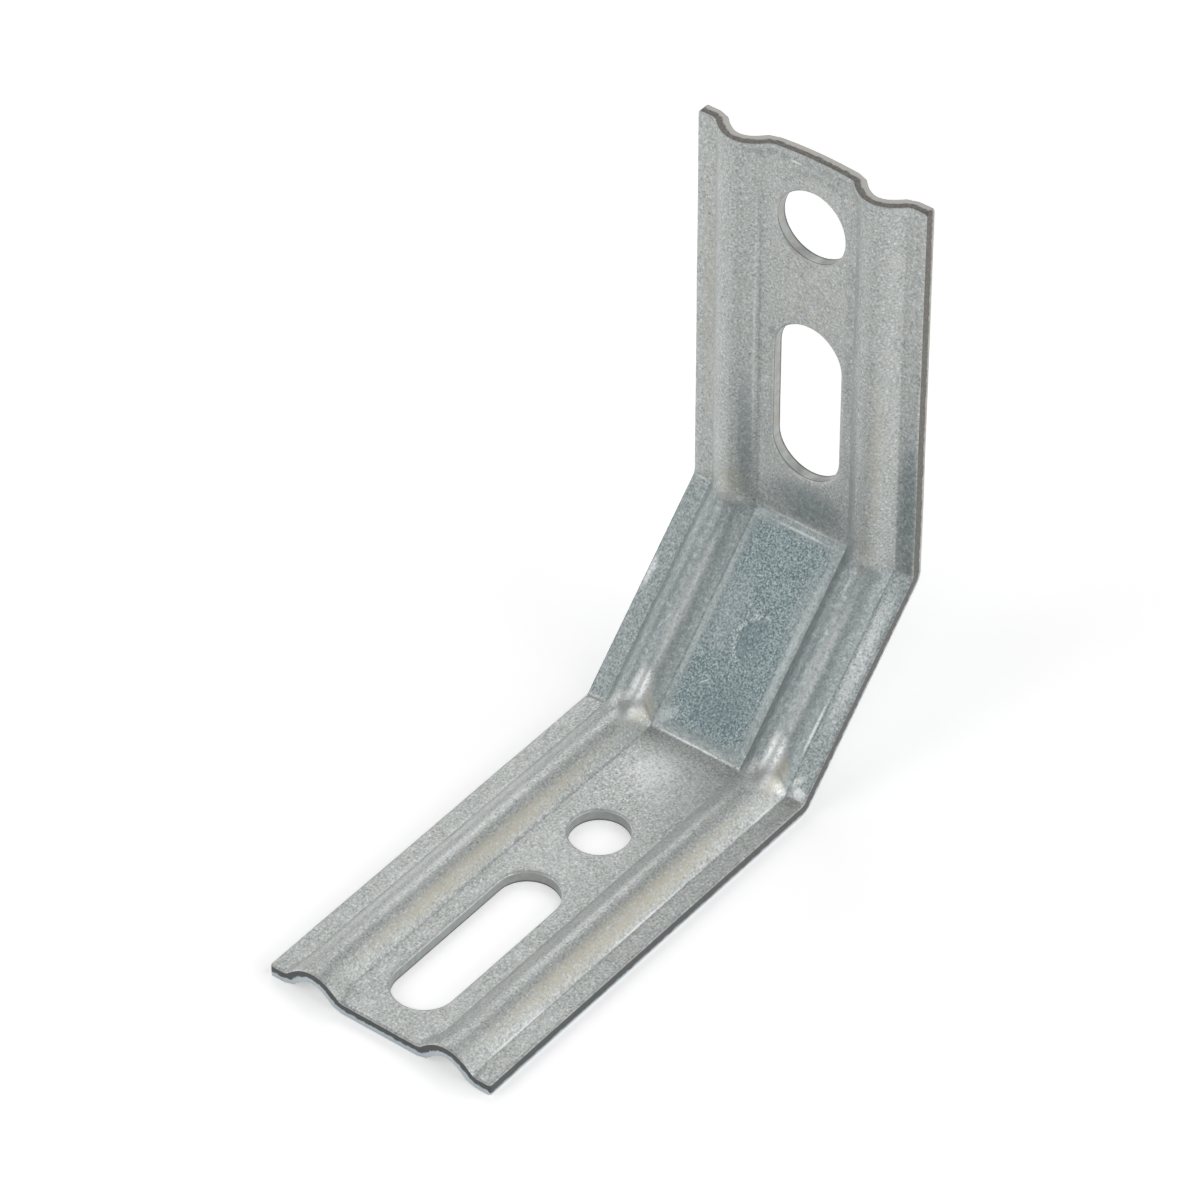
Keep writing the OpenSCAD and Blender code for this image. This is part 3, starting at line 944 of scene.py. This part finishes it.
class BRACKET_OT_sheet(bpy.types.Operator):
    """Build the folded and ribbed sheet with its zinc finish"""

    bl_idname = "bracket.sheet"
    bl_label = "Folded sheet"
    bl_options = {"REGISTER", "UNDO"}

    def execute(self, context):
        s, wear = in_mm(context.scene.bracket_sizes), in_mm(context.scene.bracket_wear)
        look = context.scene.bracket_finish
        points, quads, finish, places, rim = strip_mesh(s, wear, context.scene.bracket_stage.seed)
        piece = new_mesh_object("folded_sheet", points, quads)
        mesh = piece.data
        strip = mesh.attributes.new("strip", "FLOAT_VECTOR", "POINT")
        strip.data.foreach_set("vector", places.astype(np.float32).ravel())
        # The rim share carries the painted highlight round the holes
        mesh.attributes.new("rim", "FLOAT", "POINT").data.foreach_set("value", rim.astype(np.float32))
        for material in (zinc_material(look), cut_material(look), wall_material(look)):
            mesh.materials.append(material)
        mesh.polygons.foreach_set("material_index", finish)
        mesh.shade_smooth()
        mesh.update()
        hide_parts("angle_bracket")
        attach(piece, "root")
        return {"FINISHED"}


def floor_material(stage):
    """A pale matt floor. The camera and the reflections see it lifted to white where nothing shades it."""
    n = Nodes("pale_floor")
    path = n.add("ShaderNodeLightPath").outputs
    seen = n.most([path["Is Camera Ray"], path["Is Glossy Ray"], path["Is Transmission Ray"]])
    matt = n.add("ShaderNodeBsdfDiffuse", {"Color": (*stage.floor, 1.0)})
    lift = n.add("ShaderNodeEmission", {"Strength": n.both(seen, stage.floor_lift)})
    both = n.add("ShaderNodeAddShader", {0: matt.outputs[0], 1: lift.outputs[0]})
    n.add("ShaderNodeOutputMaterial", {"Surface": both.outputs[0]})
    return n.material


def floor_mesh():
    """A square floor, as the points and quads of a level grid."""
    side = np.linspace(-FLOOR_HALF, FLOOR_HALF, FLOOR_POINTS)
    x, y = np.meshgrid(side, side, indexing="ij")
    points = np.stack([x, y, 0 * x], -1).reshape(-1, 3)
    index = np.arange(x.size).reshape(x.shape)
    quads = np.stack([index[:-1, :-1], index[1:, :-1], index[1:, 1:], index[:-1, 1:]], -1).reshape(-1, 4)
    return points, quads


def area_lamp(name, brightness):
    """A square lamp that faces the bracket. Its power is its brightness times pi times its area."""
    direction, size = LAMPS[name]
    place = Vector(direction).normalized() * LAMP_DISTANCE
    lamp = bpy.data.lights.new(name, "AREA")
    lamp.shape, lamp.size, lamp.energy = "SQUARE", size, brightness * np.pi * size ** 2
    item = bpy.data.objects.new(name, lamp)
    item.location = place
    item.rotation_mode = "QUATERNION"
    item.rotation_quaternion = (Vector(LAMP_AIM) - place).to_track_quat("-Z", "Y")
    bpy.context.scene.collection.objects.link(item)


def aim_camera(stage):
    """The camera at the photograph's angle: it stands at the target plus the distance times the direction
    back, and its frame is turned by the roll about its line of sight."""
    azimuth, elevation, roll = stage.azimuth, stage.elevation, stage.roll
    level = np.cos(elevation)
    back = Vector((np.sin(azimuth) * level, -np.cos(azimuth) * level, np.sin(elevation)))
    side = (-back).cross(Vector((0, 0, 1))).normalized()
    above = side.cross(-back)
    right = side * np.cos(roll) + above * np.sin(roll)
    up = -side * np.sin(roll) + above * np.cos(roll)
    camera = bpy.data.objects.new("camera", bpy.data.cameras.new("camera"))
    camera.data.lens, camera.data.sensor_width = stage.lens, SENSOR_W
    camera.data.clip_start, camera.data.clip_end = CLIP_START, CLIP_END
    place = Vector(CAMERA_TARGET) * MM + back * stage.distance
    camera.matrix_world = Matrix.Translation(place) @ Matrix((right, up, back)).transposed().to_4x4()
    bpy.context.scene.collection.objects.link(camera)
    bpy.context.scene.camera = camera


class BRACKET_OT_stage(bpy.types.Operator):
    """Build the pale floor, the lamps, the world and the camera"""

    bl_idname = "bracket.stage"
    bl_label = "Stage"
    bl_options = {"REGISTER", "UNDO"}

    def execute(self, context):
        stage = context.scene.bracket_stage
        floor = new_mesh_object("floor", *floor_mesh())
        floor.data.materials.append(floor_material(stage))
        world = bpy.data.worlds.new("studio")
        world.use_nodes = True
        world.node_tree.nodes["Background"].inputs["Color"].default_value = (1.0, 1.0, 1.0, 1.0)
        world.node_tree.nodes["Background"].inputs["Strength"].default_value = stage.world
        context.scene.world = world
        for name in LAMPS:
            area_lamp(name, getattr(stage, name))
        aim_camera(stage)
        context.scene.view_settings.view_transform = "Standard"
        return {"FINISHED"}


class BRACKET_PT_panel(bpy.types.Panel):
    """The bracket's operators in the sidebar"""

    bl_label = "Angle Bracket"
    bl_space_type = "VIEW_3D"
    bl_region_type = "UI"
    bl_category = "Bracket"

    def draw(self, context):
        for operator in (BRACKET_OT_sheet, BRACKET_OT_stage):
            self.layout.operator(operator.bl_idname)


SETTINGS = {
    "bracket_sizes": BracketSizes,
    "bracket_wear": BracketWear,
    "bracket_finish": BracketFinish,
    "bracket_stage": BracketStage,
}
CLASSES = (*SETTINGS.values(), BRACKET_OT_sheet, BRACKET_OT_stage, BRACKET_PT_panel)


def register():
    """Registers the classes, and gives every scene the settings."""
    for item in CLASSES:
        bpy.utils.register_class(item)
    for name, group in SETTINGS.items():
        setattr(bpy.types.Scene, name, PointerProperty(type=group))


def unregister():
    """Takes the settings and the classes away again."""
    for name in SETTINGS:
        delattr(bpy.types.Scene, name)
    for item in reversed(CLASSES):
        bpy.utils.unregister_class(item)


def main():
    register()
    bpy.ops.bracket.sheet()
    bpy.ops.bracket.stage()


if __name__ == "__main__":
    main()
